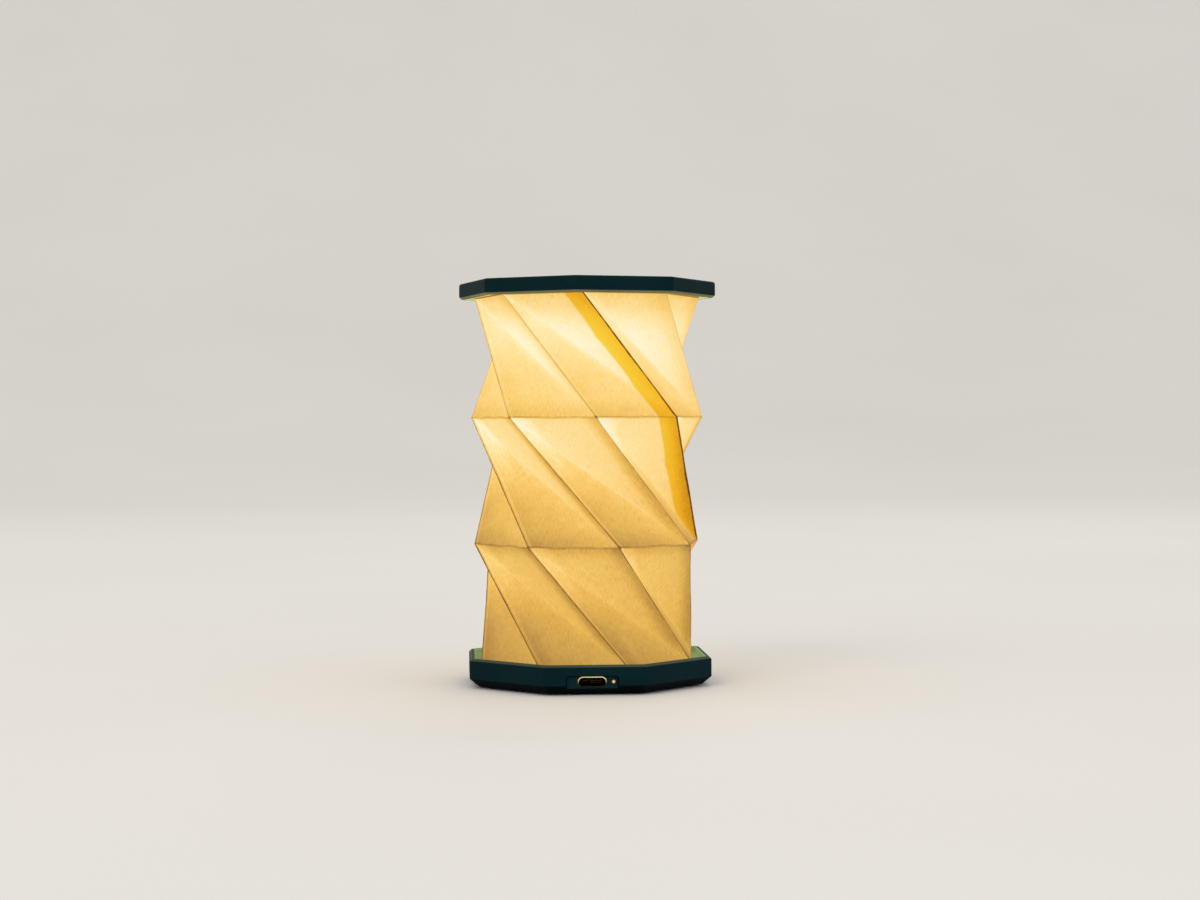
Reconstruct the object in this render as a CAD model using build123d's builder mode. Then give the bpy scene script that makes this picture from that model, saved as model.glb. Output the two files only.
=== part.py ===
from build123d import *
import os
from math import cos, radians, sin

# Twist-fold paper table lamp: an octagonal base tray and lid joined by a folded paper
# bellows. Millimetres, +Z up, origin on the ground under the middle of the base, and the
# charging socket faces -Y. Angles run anticlockwise seen from above, from +X.

# ---------------------------------------------------------------- driving dimensions

# Plan form shared by the base and the lid
sides = 8
cap_apothem = 38.35  # half the distance across the flats
cap_wall = 2.15
cap_corner = 1.0  # rounding of the upright edges
inner_corner = 0.6
rim_depth = 1.5  # how far the paper stands down inside each rim
lip_chamfer = 0.8
rim_chamfer = 0.3

# Base
foot_proud = 0.6
chamfer_height = 2.5
chamfer_width = 2.8
base_side = 6.3
tray_floor_plate = 1.0

# Bottom cover and foot pad
cover_plate = 1.2
cover_lip_height = 1.0
cover_lip_wall = 1.25
cover_fit = 0.15  # gap between the cover's lip and the tray's wall
pad_margin = 2.95  # from the cover's underside edge to the pad
pad_sunk = 0.5
pad_fit = 0.1
pad_corner = 3.0
pad_groove_width = 0.8
pad_groove_depth = 0.25
pad_groove_pitch = 4.0
pad_grooves = 3

# Cover screws, on four of the eight corners
cover_screw_count = 4
cover_screw_inset = 8.18  # from the cavity's corners to the screws
screw_boss_radius = 2.3
screw_boss_gap = 0.3  # around a boss where it passes the control board
cover_boss_radius = 3.0
cover_boss_height = 0.8
screw_head_radius = 1.9
screw_head_height = 0.95
screw_shank_radius = 0.9
screw_shank_length = 4.0
screw_pilot_gap = 0.05
screw_hole_gap = 0.2
screw_seat_gap = 0.05
screw_drive_width = 0.45
screw_drive_length = 2.2
screw_drive_depth = 0.45

# Paper bellows, from the base up
lower_tier_height = 37.3
middle_tier_height = 40.2
upper_tier_height = 39.8
lower_tier_twist = 49.8
middle_tier_twist = 56.0
upper_tier_twist = 52.1
floor_row_inset = 3.08  # corners of the paper's foot, in from the cavity's corners
fold_row_inset = 1.88  # corners of the level folds
ceiling_row_inset = 2.58
paper_turn_in_base = -5.84  # first fold line against the base's corners
paper_turn_in_lid = 1.83  # last fold line against the lid's corners
paper_wall = 0.3
hem_width = 4.5
glue_gap = 0.05
seam_width = 6.7
seam_thickness = 0.2
seam_corner = 1  # the corner that the glued overlap follows
ring_thickness = 0.5
ring_clear = 1.2  # between a card ring and the leaning paper

# Lid
lid_height = 5.1
lid_plate = 1.6
lid_top_round = 0.9
reflector_thickness = 1.0
reflector_fit = 0.15
ledge_width = 1.6
closed_gap = 0.3  # between the two rims when the lamp is folded
closing_corners = 2  # whole corners that the lid turns past as it folds

# Charging socket and its panel
port_offset = -0.94
port_height = 4.25
port_width = 8.94
port_thickness = 3.2
port_length = 7.3
port_metal = 0.3
port_gap = 0.12
port_wing_out = 1.35
port_wing_length = 2.0
port_wing_thick = 0.3
panel_width = 16.4
panel_top = 6.2
panel_depth = 0.95
panel_corner = 1.0
tongue_width = 6.65
tongue_thick = 0.7
tongue_setback = 0.75
tongue_block = 1.6
contact_count = 12
contact_pitch = 0.5
contact_width = 0.25
contact_length = 3.0
contact_thick = 0.05
contact_setback = 0.4

# Charging light
indicator_offset = 6.6  # from the middle of the socket
indicator_radius = 0.6
indicator_gap = 0.05
indicator_proud = 0.05
indicator_led_gap = 0.2

# Control board
board_edge_gap = 0.4  # to the cover's lip
board_side_gap = 8.8  # from its sides to the cover's lip
board_thick = 1.0
board_clearance = 1.1  # over the cover
board_to_cell = 3.0
board_notch_gap = 0.13
board_post_side = 4.5  # from the board's side edge
board_post_back = 6.0  # from the board's rear edge
board_post_radius = 1.8
board_screw_shank = 0.75
board_screw_head = 1.5
board_screw_head_height = 0.9
board_screw_length = 3.4

# Parts on the control board: width, depth, height, and places from the middle of its rear edge
charger_size = (3.0, 3.0, 0.9)
charger_place = (9.0, -10.5)
driver_size = (4.0, 4.0, 0.9)
driver_place = (15.5, -10.0)
coil_size = (4.6, 4.6, 1.4)
coil_place = (8.5, -4.0)
capacitor_size = (1.6, 0.9, 0.8)
capacitor_places = ((13.5, -4.5), (13.5, -6.2), (5.2, -11.0), (5.2, -13.0))
resistor_size = (1.0, 0.5, 0.4)
resistor_places = ((19.5, -12.5), (19.5, -14.0), (17.5, -15.5), (-9.0, -10.5), (-7.0, -10.5))
indicator_led_size = (1.6, 0.9, 0.7)
hall_size = (2.9, 1.4, 1.1)
hall_inset = 8.18  # from the cavity's corners
hall_angle = 232.0

# Battery
cell_width = 44.0
cell_depth = 30.0
cell_thick = 3.6
cell_front = -10.0
cell_corner = 2.0
cell_edge = 0.8
cell_terrace_depth = 2.0
cell_terrace_thick = 1.6
cell_terrace_height = 2.6  # middle of the folded end above the cell's underside
tape_thick = 0.2
tape_inset = 2.0
plug_size = (5.0, 3.8, 2.2)
plug_back = 5.4  # from the board's rear edge
lead_radius = 0.5
lead_pitch = 1.3
lead_side = 6.0  # from the cell's side edge
lead_run = 9.5  # across the board to the plug
lead_bend = 2.0
lead_straight = 1.5  # before the leads begin to rise

# Light source
led_board_radius = 15.0
led_board_thick = 0.8
led_size = (3.0, 2.8, 0.6)
led_count = 6
led_ring_radius = 4.6
pin_radius = 0.4
pin_pitch = 2.54
pin_y = -14.0
hook_width = 3.0
hook_thick = 0.8
hook_reach = 0.5
hook_tip = 0.3
hook_gap = 0.15  # around the LED board's edge
hook_play = 0.05  # under it
hook_count = 3
hook_start = 90.0
window_radius = 11.0
lens_fit = 0.1
lens_flange_radius = 13.0
lens_flange_thick = 0.5
lens_crown = 1.0
lens_edge_height = 1.6
lens_pocket_radius = 6.8
lens_pocket_depth = 0.9

# Magnets
magnet_radius = 3.0
magnet_thick = 1.5
magnet_inset = 6.18  # from the cavity's corners
magnet_count = 4
magnet_gap = 0.1
magnet_sleeve = 0.9
magnet_sunk = 0.4
lid_magnet_sunk = 0.5
switch_magnet_radius = 2.0
switch_magnet_thick = 0.9

# ---------------------------------------------------------------- worked out from them

corner_turn = 360 / sides
first_corner = corner_turn / 2  # so that a flat faces each axis
cavity_apothem = cap_apothem - cap_wall
cavity_radius = cavity_apothem / cos(radians(corner_turn / 2))  # to its corners

side_bottom = foot_proud + chamfer_height
base_top = side_bottom + base_side
tray_floor = base_top - rim_depth
tray_underside = tray_floor - tray_floor_plate
cover_inside = foot_proud + cover_plate
cover_lip_apothem = cavity_apothem - cover_fit
cover_pocket_apothem = cover_lip_apothem - cover_lip_wall
pad_apothem = cap_apothem - chamfer_width - pad_margin
pad_top = foot_proud + pad_sunk
cover_screw_radius = cavity_radius - cover_screw_inset
cover_boss_top = cover_inside + cover_boss_height
screw_head_top = pad_top + screw_seat_gap + screw_head_height

tier_heights = (lower_tier_height, middle_tier_height, upper_tier_height)
tier_twists = (lower_tier_twist, middle_tier_twist, upper_tier_twist)
row_insets = (floor_row_inset, fold_row_inset, fold_row_inset, ceiling_row_inset)
paper_height = sum(tier_heights)
lid_ceiling = tray_floor + paper_height
lid_lip = lid_ceiling - rim_depth
lid_top = lid_lip + lid_height
lid_underside = lid_top - lid_plate
reflector_top = lid_ceiling + reflector_thickness

row_radii = [cavity_radius - inset for inset in row_insets]
row_levels = [tray_floor + sum(tier_heights[:row]) for row in range(len(row_radii))]
first_row_turn = first_corner + paper_turn_in_base
row_turns = [first_row_turn - sum(tier_twists[:row]) for row in range(len(row_radii))]
lid_turn = row_turns[-1] - paper_turn_in_lid - first_corner  # the lid's corners against the base's
fold_turn = lid_turn % corner_turn + closing_corners * corner_turn
lid_travel = lid_lip - base_top - closed_gap
wall_inset = paper_wall / cos(radians(corner_turn / 2))
seam_inset = seam_thickness / cos(radians(corner_turn / 2))

panel_y = -(cap_apothem - panel_depth)
port_back_y = panel_y + port_length
board_bottom = cover_inside + board_clearance
board_top = board_bottom + board_thick
board_apothem = cover_pocket_apothem - board_edge_gap
board_half_width = cover_pocket_apothem - board_side_gap
board_rear = cell_front - board_to_cell
board_post_x = board_half_width - board_post_side
board_post_y = board_rear - board_post_back
hall_radius = cavity_radius - hall_inset
plug_left = -cell_width / 2 + lead_side + lead_run
plug_y = board_rear - plug_back
indicator_x = port_offset + indicator_offset
boss_start = first_corner + corner_turn
magnet_start = first_corner
led_board_top = tray_underside
led_board_bottom = led_board_top - led_board_thick
cell_bottom = cover_inside + tape_thick
lens_flange_top = tray_underside + lens_flange_thick
magnet_ring_radius = cavity_radius - magnet_inset
magnet_top = tray_underside + magnet_sunk
magnet_bottom = magnet_top - magnet_thick

panel_plane = Plane.XZ.offset(-panel_y)

os.makedirs("parts", exist_ok=True)


def level(height):
    """Level plane at a height above the ground."""
    return Plane.XY.offset(height)


def octagon(apothem, corner, turn=0.0):
    """Rounded octagon with its flats square to the axes, or turned from there."""
    with BuildSketch(mode=Mode.PRIVATE) as outline:
        RegularPolygon(apothem, sides, major_radius=False, rotation=first_corner + turn)
        fillet(outline.vertices(), corner)
    return outline.sketch


def at_cover_screws():
    return PolarLocations(cover_screw_radius, cover_screw_count, start_angle=boss_start)


def at_board_posts(height=0.0):
    return Locations((-board_post_x, board_post_y, height), (board_post_x, board_post_y, height))


def at_led_pins(height=0.0):
    return Locations((-pin_pitch / 2, pin_y, height), (pin_pitch / 2, pin_y, height))


def at_magnets(turn=0.0):
    return PolarLocations(magnet_ring_radius, magnet_count, start_angle=magnet_start + turn)


def cut_socket_panel(wall_behind):
    """Takes the socket's panel, its opening and the charging light's hole out of a wall."""
    with BuildSketch(panel_plane) as panel:
        with Locations((port_offset, panel_top / 2)):
            RectangleRounded(panel_width, panel_top, panel_corner)
    extrude(panel.sketch, amount=panel_depth, mode=Mode.SUBTRACT)
    with BuildSketch(panel_plane) as holes:
        with Locations((port_offset, port_height)):
            SlotOverall(port_width + 2 * port_gap, port_thickness + 2 * port_gap)
        with Locations((indicator_x, port_height)):
            Circle(indicator_radius + indicator_gap)
    extrude(holes.sketch, amount=-wall_behind, mode=Mode.SUBTRACT)


def save(part, name):
    part.label = name
    export_step(part, f"parts/{name}.step")


# ---------------------------------------------------------------- base tray

with BuildPart() as base_tray:
    with BuildSketch(level(side_bottom)):
        add(octagon(cap_apothem, cap_corner))
    extrude(amount=base_side)
    chamfer(base_tray.faces().sort_by(Axis.Z)[-1].edges(), lip_chamfer)
    # the recess that the paper stands in
    with BuildSketch(level(tray_floor)):
        add(octagon(cavity_apothem, inner_corner))
    extrude(amount=rim_depth, mode=Mode.SUBTRACT)
    rim_edges = base_tray.faces().sort_by(Axis.Z)[-1].inner_wires()[0].edges()
    chamfer(rim_edges, rim_chamfer)
    # the room for the electronics
    with BuildSketch(level(side_bottom)):
        add(octagon(cavity_apothem, inner_corner))
    extrude(amount=tray_underside - side_bottom, mode=Mode.SUBTRACT)
    # bosses for the cover's screws, posts for the control board, sleeves for the magnets
    with BuildSketch(level(cover_boss_top)):
        with at_cover_screws():
            Circle(screw_boss_radius)
    extrude(amount=tray_underside - cover_boss_top)
    with BuildSketch(level(board_top)):
        with at_board_posts():
            Circle(board_post_radius)
    extrude(amount=tray_underside - board_top)
    with BuildSketch(level(magnet_bottom)):
        with at_magnets():
            Circle(magnet_radius + magnet_sleeve)
        add(octagon(cap_apothem, cap_corner), mode=Mode.INTERSECT)
    extrude(amount=tray_underside - magnet_bottom)
    with BuildSketch(level(magnet_bottom)):
        with at_magnets():
            Circle(magnet_radius + magnet_gap)
    extrude(amount=magnet_thick, mode=Mode.SUBTRACT)
    with BuildSketch(level(cover_boss_top)):
        with at_cover_screws():
            Circle(screw_shank_radius + screw_pilot_gap)
    extrude(amount=screw_shank_length, mode=Mode.SUBTRACT)
    with BuildSketch(level(board_top)):
        with at_board_posts():
            Circle(board_screw_shank + screw_pilot_gap)
    extrude(amount=tray_underside - board_top, mode=Mode.SUBTRACT)
    # hooks that hold the LED board up against the floor
    hook_radius = led_board_radius + hook_gap
    with BuildSketch(level(led_board_bottom - hook_play)):
        with PolarLocations(0, hook_count, start_angle=hook_start):
            with Locations((hook_radius + hook_thick / 2, 0)):
                Rectangle(hook_thick, hook_width)
    extrude(amount=tray_underside - led_board_bottom + hook_play)
    with BuildSketch(level(led_board_bottom - hook_play)):
        with PolarLocations(0, hook_count, start_angle=hook_start):
            with Locations((hook_radius + (hook_thick - hook_reach) / 2, 0)):
                Rectangle(hook_thick + hook_reach, hook_width)
    extrude(amount=-hook_tip)
    # window for the lens, with a step for its flange
    with BuildSketch(level(tray_underside)):
        Circle(lens_flange_radius + lens_fit)
    extrude(amount=lens_flange_thick, mode=Mode.SUBTRACT)
    with BuildSketch(level(tray_underside)):
        Circle(window_radius)
    extrude(amount=tray_floor_plate, mode=Mode.SUBTRACT)
    # the panel that the socket sits in
    cut_socket_panel(cap_wall - panel_depth)
save(base_tray.part, "base_tray")

# ---------------------------------------------------------------- bottom cover and foot pad

with BuildPart() as bottom_cover:
    with BuildSketch(level(foot_proud)):
        add(octagon(cap_apothem - chamfer_width, cap_corner))
    with BuildSketch(level(side_bottom)):
        add(octagon(cap_apothem, cap_corner))
    loft(ruled=True)
    with BuildSketch(level(side_bottom)):
        add(octagon(cover_lip_apothem, inner_corner))
    extrude(amount=cover_lip_height)
    with BuildSketch(level(cover_inside)):
        add(octagon(cover_pocket_apothem, inner_corner))
    extrude(amount=side_bottom + cover_lip_height - cover_inside, mode=Mode.SUBTRACT)
    with BuildSketch(level(cover_inside)):
        with at_cover_screws():
            Circle(cover_boss_radius)
        add(octagon(cover_pocket_apothem + cover_lip_wall / 2, inner_corner), mode=Mode.INTERSECT)
    extrude(amount=cover_boss_height)
    with BuildSketch(level(foot_proud)):
        add(octagon(pad_apothem + pad_fit, pad_corner))
    extrude(amount=pad_sunk, mode=Mode.SUBTRACT)
    with BuildSketch(level(pad_top)):
        with at_cover_screws():
            Circle(screw_head_radius + screw_hole_gap)
    extrude(amount=screw_head_top - pad_top, mode=Mode.SUBTRACT)
    with BuildSketch(level(pad_top)):
        with at_cover_screws():
            Circle(screw_shank_radius + screw_hole_gap)
    extrude(amount=cover_boss_top - pad_top, mode=Mode.SUBTRACT)
    # the socket's panel runs down through the sloping edge
    cut_socket_panel(cap_apothem - panel_depth - cover_pocket_apothem)
    # gap in the lip behind the panel, so that the socket can be laid in
    with BuildSketch(level(side_bottom)):
        with Locations((port_offset, panel_y + (cap_apothem - cover_pocket_apothem) / 2)):
            Rectangle(panel_width, cap_apothem - cover_pocket_apothem)
    extrude(amount=cover_lip_height, mode=Mode.SUBTRACT)
save(bottom_cover.part, "bottom_cover")

with BuildPart() as foot_pad:
    with BuildSketch(level(0)):
        add(octagon(pad_apothem, pad_corner))
    extrude(amount=pad_top)
    with BuildSketch(level(0)):
        for ring in range(pad_grooves):
            groove_apothem = pad_apothem - (ring + 1) * pad_groove_pitch
            add(octagon(groove_apothem, pad_corner))
            add(octagon(groove_apothem - pad_groove_width, pad_corner), mode=Mode.SUBTRACT)
    extrude(amount=pad_groove_depth, mode=Mode.SUBTRACT)
save(foot_pad.part, "foot_pad")

with BuildPart() as cover_screws:
    with at_cover_screws():
        with Locations((0, 0, screw_head_top)):
            Cylinder(screw_head_radius, screw_head_height, align=(Align.CENTER, Align.CENTER, Align.MAX))
            Cylinder(
                screw_shank_radius,
                screw_shank_length,
                align=(Align.CENTER, Align.CENTER, Align.MIN),
            )
        with Locations((0, 0, screw_head_top - screw_head_height)):
            for turn in (0, 90):
                Box(
                    screw_drive_length,
                    screw_drive_width,
                    screw_drive_depth,
                    rotation=(0, 0, turn),
                    align=(Align.CENTER, Align.CENTER, Align.MIN),
                    mode=Mode.SUBTRACT,
                )
save(cover_screws.part, "cover_screws")

# ---------------------------------------------------------------- charging socket

with BuildPart() as usb_c_shell:
    with BuildSketch(panel_plane):
        with Locations((port_offset, port_height)):
            SlotOverall(port_width, port_thickness)
            SlotOverall(port_width - 2 * port_metal, port_thickness - 2 * port_metal, mode=Mode.SUBTRACT)
    extrude(amount=-port_length)
    # side wings that are soldered to the control board
    wing_x = (port_width - port_metal) / 2
    left_wing = (port_offset - wing_x, port_back_y, board_top)
    right_wing = (port_offset + wing_x, port_back_y, board_top)
    with Locations(left_wing, right_wing):
        Box(
            2 * port_wing_out,
            port_wing_length,
            port_wing_thick,
            align=(Align.CENTER, Align.MAX, Align.MIN),
        )
    with BuildSketch(panel_plane):
        with Locations((port_offset, port_height)):
            SlotOverall(port_width - 2 * port_metal, port_thickness - 2 * port_metal)
    extrude(amount=-port_length, mode=Mode.SUBTRACT)
save(usb_c_shell.part, "usb_c_shell")

tongue_length = port_length - tongue_block - tongue_setback
with BuildPart() as usb_c_tongue:
    with BuildSketch(Plane.XZ.offset(-port_back_y)):
        with Locations((port_offset, port_height)):
            SlotOverall(port_width - 2 * port_metal, port_thickness - 2 * port_metal)
    extrude(amount=tongue_block)
    with Locations((port_offset, port_back_y - tongue_block, port_height)):
        Box(tongue_width, tongue_length, tongue_thick, align=(Align.CENTER, Align.MAX, Align.CENTER))
save(usb_c_tongue.part, "usb_c_tongue")

with BuildPart() as usb_c_contacts:
    contact_y = panel_y + tongue_setback + contact_setback
    for face_height in (port_height + tongue_thick / 2, port_height - tongue_thick / 2 - contact_thick):
        with Locations((port_offset, contact_y + contact_length / 2, face_height)):
            with GridLocations(contact_pitch, 1, contact_count, 1):
                Box(
                    contact_width,
                    contact_length,
                    contact_thick,
                    align=(Align.CENTER, Align.CENTER, Align.MIN),
                )
save(usb_c_contacts.part, "usb_c_contacts")

indicator_led_front = -board_apothem + indicator_led_gap
with BuildPart() as charge_indicator:
    with BuildSketch(Plane.XZ.offset(-panel_y + indicator_proud)):
        with Locations((indicator_x, port_height)):
            Circle(indicator_radius)
    extrude(amount=-(indicator_led_front - indicator_led_gap - panel_y + indicator_proud))
    fillet(charge_indicator.faces().sort_by(Axis.Y)[0].edges(), indicator_radius / 3)
save(charge_indicator.part, "charge_indicator")

# ---------------------------------------------------------------- control board

with BuildPart() as control_board:
    with BuildSketch(level(board_bottom)):
        add(octagon(board_apothem, inner_corner))
        with Locations((0, board_rear)):
            Rectangle(
                2 * board_half_width,
                2 * board_apothem,
                align=(Align.CENTER, Align.MAX),
                mode=Mode.INTERSECT,
            )
        # notch for the socket, holes for the cover's boss and the board's own screws
        with Locations((port_offset, port_back_y + board_notch_gap)):
            Rectangle(
                port_width + 2 * board_notch_gap,
                port_length,
                align=(Align.CENTER, Align.MAX),
                mode=Mode.SUBTRACT,
            )
        with at_cover_screws():
            Circle(screw_boss_radius + screw_boss_gap, mode=Mode.SUBTRACT)
        with at_board_posts():
            Circle(board_screw_shank + screw_hole_gap, mode=Mode.SUBTRACT)
        with at_led_pins():
            Circle(pin_radius / 2, mode=Mode.SUBTRACT)
    extrude(amount=board_thick)
save(control_board.part, "control_board")

with BuildPart() as board_screws:
    with at_board_posts(board_bottom):
        Cylinder(
            board_screw_head,
            board_screw_head_height,
            align=(Align.CENTER, Align.CENTER, Align.MAX),
        )
        Cylinder(board_screw_shank, board_screw_length, align=(Align.CENTER, Align.CENTER, Align.MIN))
save(board_screws.part, "board_screws")


def on_board(size, *places):
    """Block-shaped components standing on the control board."""
    with Locations(*[(x, board_rear + y, board_top) for x, y in places]):
        Box(*size, align=(Align.CENTER, Align.CENTER, Align.MIN))


with BuildPart() as board_components:
    on_board(charger_size, charger_place)
    on_board(driver_size, driver_place)
    on_board(coil_size, coil_place)
    on_board(capacitor_size, *capacitor_places)
    on_board(resistor_size, *resistor_places)
    with Locations((indicator_x, indicator_led_front, board_top)):
        Box(*indicator_led_size, align=(Align.CENTER, Align.MIN, Align.MIN))
save(board_components.part, "board_components")

with BuildPart() as hall_switch:
    with PolarLocations(hall_radius, 1, start_angle=hall_angle):
        with Locations((0, 0, board_top)):
            Box(*hall_size, align=(Align.CENTER, Align.CENTER, Align.MIN))
save(hall_switch.part, "hall_switch")

# ---------------------------------------------------------------- battery

with BuildPart() as battery_tape:
    with BuildSketch(level(cover_inside)):
        with Locations((0, cell_front + cell_depth / 2)):
            Rectangle(cell_width - 2 * tape_inset, cell_depth - 2 * tape_inset)
    extrude(amount=tape_thick)
save(battery_tape.part, "battery_tape")

with BuildPart() as battery_pouch:
    with BuildSketch(level(cell_bottom)):
        with Locations((0, cell_front + cell_depth / 2 + cell_terrace_depth / 2)):
            RectangleRounded(cell_width, cell_depth - cell_terrace_depth, cell_corner)
    extrude(amount=cell_thick)
    fillet(battery_pouch.faces().sort_by(Axis.Z)[-1].edges(), cell_edge)
    fillet(battery_pouch.faces().sort_by(Axis.Z)[0].edges(), cell_edge)
    # folded end of the pouch, with the protection board under tape
    with Locations((0, cell_front, cell_bottom + cell_terrace_height)):
        Box(
            cell_width - 2 * cell_corner,
            2 * cell_terrace_depth,
            cell_terrace_thick,
            align=(Align.CENTER, Align.MIN, Align.CENTER),
        )
save(battery_pouch.part, "battery_pouch")

lead_height = cell_bottom + cell_terrace_height
with BuildPart() as battery_plug:
    with Locations((plug_left, plug_y, board_top)):
        Box(*plug_size, align=(Align.MIN, Align.CENTER, Align.MIN))
save(battery_plug.part, "battery_plug")

lead_rise = board_top + plug_size[2] / 2 - lead_height
with BuildPart() as battery_leads:
    for side in (-1, 1):
        lead_start = -cell_width / 2 + lead_side + side * lead_pitch / 2
        lead_entry = plug_y + side * lead_pitch / 2
        with BuildLine() as lead_route:
            FilletPolyline(
                (lead_start, cell_front, lead_height),
                (lead_start, cell_front - lead_straight, lead_height),
                (lead_start, lead_entry, lead_height + lead_rise),
                (plug_left, lead_entry, lead_height + lead_rise),
                radius=lead_bend,
            )
        with BuildSketch(Plane(lead_route.line @ 0, z_dir=lead_route.line % 0)):
            Circle(lead_radius)
        sweep(path=lead_route.line)
save(battery_leads.part, "battery_leads")

# ---------------------------------------------------------------- light source

with BuildPart() as led_board:
    with BuildSketch(level(led_board_bottom)):
        Circle(led_board_radius)
        with at_led_pins():
            Circle(pin_radius + pin_radius / 4, mode=Mode.SUBTRACT)
    extrude(amount=led_board_thick)
save(led_board.part, "led_board")

with BuildPart() as led_chips:
    with Locations((0, 0, led_board_top)):
        Box(*led_size, align=(Align.CENTER, Align.CENTER, Align.MIN))
        with PolarLocations(led_ring_radius, led_count):
            Box(*led_size, align=(Align.CENTER, Align.CENTER, Align.MIN))
save(led_chips.part, "led_chips")

with BuildPart() as led_pins:
    with at_led_pins(board_top):
        Cylinder(
            pin_radius,
            led_board_top - board_top,
            align=(Align.CENTER, Align.CENTER, Align.MIN),
        )
save(led_pins.part, "led_pins")

lens_top = lens_flange_top + lens_edge_height + lens_crown
with BuildPart() as beam_lens:
    with BuildSketch(Plane.XZ):
        with BuildLine():
            rim_of_lens = window_radius - lens_fit
            Polyline(
                (lens_pocket_radius, tray_underside),
                (lens_flange_radius, tray_underside),
                (lens_flange_radius, lens_flange_top),
                (rim_of_lens, lens_flange_top),
                (rim_of_lens, lens_flange_top + lens_edge_height),
            )
            TangentArc(
                (0, lens_top),
                (rim_of_lens, lens_flange_top + lens_edge_height),
                tangent=(1, 0),
            )
            Polyline(
                (0, lens_top),
                (0, tray_underside + lens_pocket_depth),
                (lens_pocket_radius, tray_underside + lens_pocket_depth),
                (lens_pocket_radius, tray_underside),
            )
        make_face()
    revolve(axis=Axis.Z)
save(beam_lens.part, "beam_lens")

# ---------------------------------------------------------------- magnets

with BuildPart() as base_magnets:
    with BuildSketch(level(magnet_bottom)):
        with at_magnets():
            Circle(magnet_radius)
    extrude(amount=magnet_thick)
save(base_magnets.part, "base_magnets")

with BuildPart() as lid_magnets:
    with BuildSketch(level(reflector_top)):
        with at_magnets(fold_turn):
            Circle(magnet_radius)
    extrude(amount=magnet_thick)
save(lid_magnets.part, "lid_magnets")

with BuildPart() as switch_magnet:
    with BuildSketch(level(reflector_top)):
        with PolarLocations(hall_radius, 1, start_angle=hall_angle + fold_turn):
            Circle(switch_magnet_radius)
    extrude(amount=switch_magnet_thick)
save(switch_magnet.part, "switch_magnet")

# ---------------------------------------------------------------- lid

with BuildPart() as lid_shell:
    with BuildSketch(level(lid_lip)):
        add(octagon(cap_apothem, cap_corner, lid_turn))
    extrude(amount=lid_height)
    fillet(lid_shell.faces().sort_by(Axis.Z)[-1].edges(), lid_top_round)
    chamfer(lid_shell.faces().sort_by(Axis.Z)[0].edges(), lip_chamfer)
    with BuildSketch(level(lid_lip)):
        add(octagon(cavity_apothem, inner_corner, lid_turn))
    extrude(amount=reflector_top - lid_lip, mode=Mode.SUBTRACT)
    rim_edges = lid_shell.faces().sort_by(Axis.Z)[0].inner_wires()[0].edges()
    chamfer(rim_edges, rim_chamfer)
    # above the ledge that the reflector seats on, and around the magnets
    with BuildSketch(level(reflector_top)):
        add(octagon(cavity_apothem - ledge_width, inner_corner, lid_turn))
        with at_magnets(fold_turn):
            Circle(magnet_radius + magnet_sleeve, mode=Mode.SUBTRACT)
    extrude(amount=lid_underside - reflector_top, mode=Mode.SUBTRACT)
    with BuildSketch(level(reflector_top)):
        with at_magnets(fold_turn):
            Circle(magnet_radius + magnet_gap)
    extrude(amount=lid_underside - reflector_top + lid_magnet_sunk, mode=Mode.SUBTRACT)
save(lid_shell.part, "lid_shell")

with BuildPart() as lid_reflector:
    with BuildSketch(level(lid_ceiling)):
        add(octagon(cavity_apothem - reflector_fit, inner_corner, lid_turn))
    extrude(amount=reflector_thickness)
save(lid_reflector.part, "lid_reflector")

# ---------------------------------------------------------------- paper


def row_point(row, corner, inset=0.0):
    """Corner of a level fold line, moved towards the lamp's axis by inset."""
    angle = radians(row_turns[row] + corner * corner_turn)
    radius = row_radii[row] - inset
    return Vector(radius * cos(angle), radius * sin(angle), row_levels[row])


def solid_of(triangles_and_caps):
    """Closed solid from flat faces, each given by its corners."""
    return Solid(Shell([Face(Wire.make_polygon(corners)) for corners in triangles_and_caps]))


def folded_tube(inset):
    """Everything inside the folded surface: in each tier a ridge runs from a corner to the
    same corner of the line above, and a valley from the next corner to it."""
    panels = []
    for lower in range(len(tier_heights)):
        for corner in range(sides):
            foot = row_point(lower, corner, inset)
            next_foot = row_point(lower, corner + 1, inset)
            head = row_point(lower + 1, corner, inset)
            next_head = row_point(lower + 1, corner + 1, inset)
            panels.append((foot, next_foot, head))
            panels.append((next_foot, next_head, head))
    for row in (0, len(tier_heights)):
        panels.append([row_point(row, corner, inset) for corner in range(sides)])
    return solid_of(panels)


def hem_ring(row, inset, width, bottom, thickness):
    """Flat eight-sided ring lined up with a fold line."""
    with BuildPart(mode=Mode.PRIVATE) as ring:
        with BuildSketch(level(bottom)):
            outer = row_radii[row] - inset
            RegularPolygon(outer, sides, rotation=row_turns[row])
            RegularPolygon(outer - width, sides, rotation=row_turns[row], mode=Mode.SUBTRACT)
        extrude(amount=thickness)
    return ring.part


last_row = len(tier_heights)
lower_hem = tray_floor + glue_gap
upper_hem = lid_ceiling - glue_gap - paper_wall

with BuildPart() as paper_shade:
    add(folded_tube(0))
    add(folded_tube(wall_inset), mode=Mode.SUBTRACT)
    add(hem_ring(0, wall_inset, hem_width, lower_hem, paper_wall))
    add(hem_ring(last_row, wall_inset, hem_width, upper_hem, paper_wall))
    # gaps for the glue on the tray's floor and under the lid's reflector
    with Locations((0, 0, lower_hem)):
        Box(
            4 * cap_apothem,
            4 * cap_apothem,
            upper_hem + paper_wall - lower_hem,
            align=(Align.CENTER, Align.CENTER, Align.MIN),
            mode=Mode.INTERSECT,
        )
save(paper_shade.part, "paper_shade")


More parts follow.
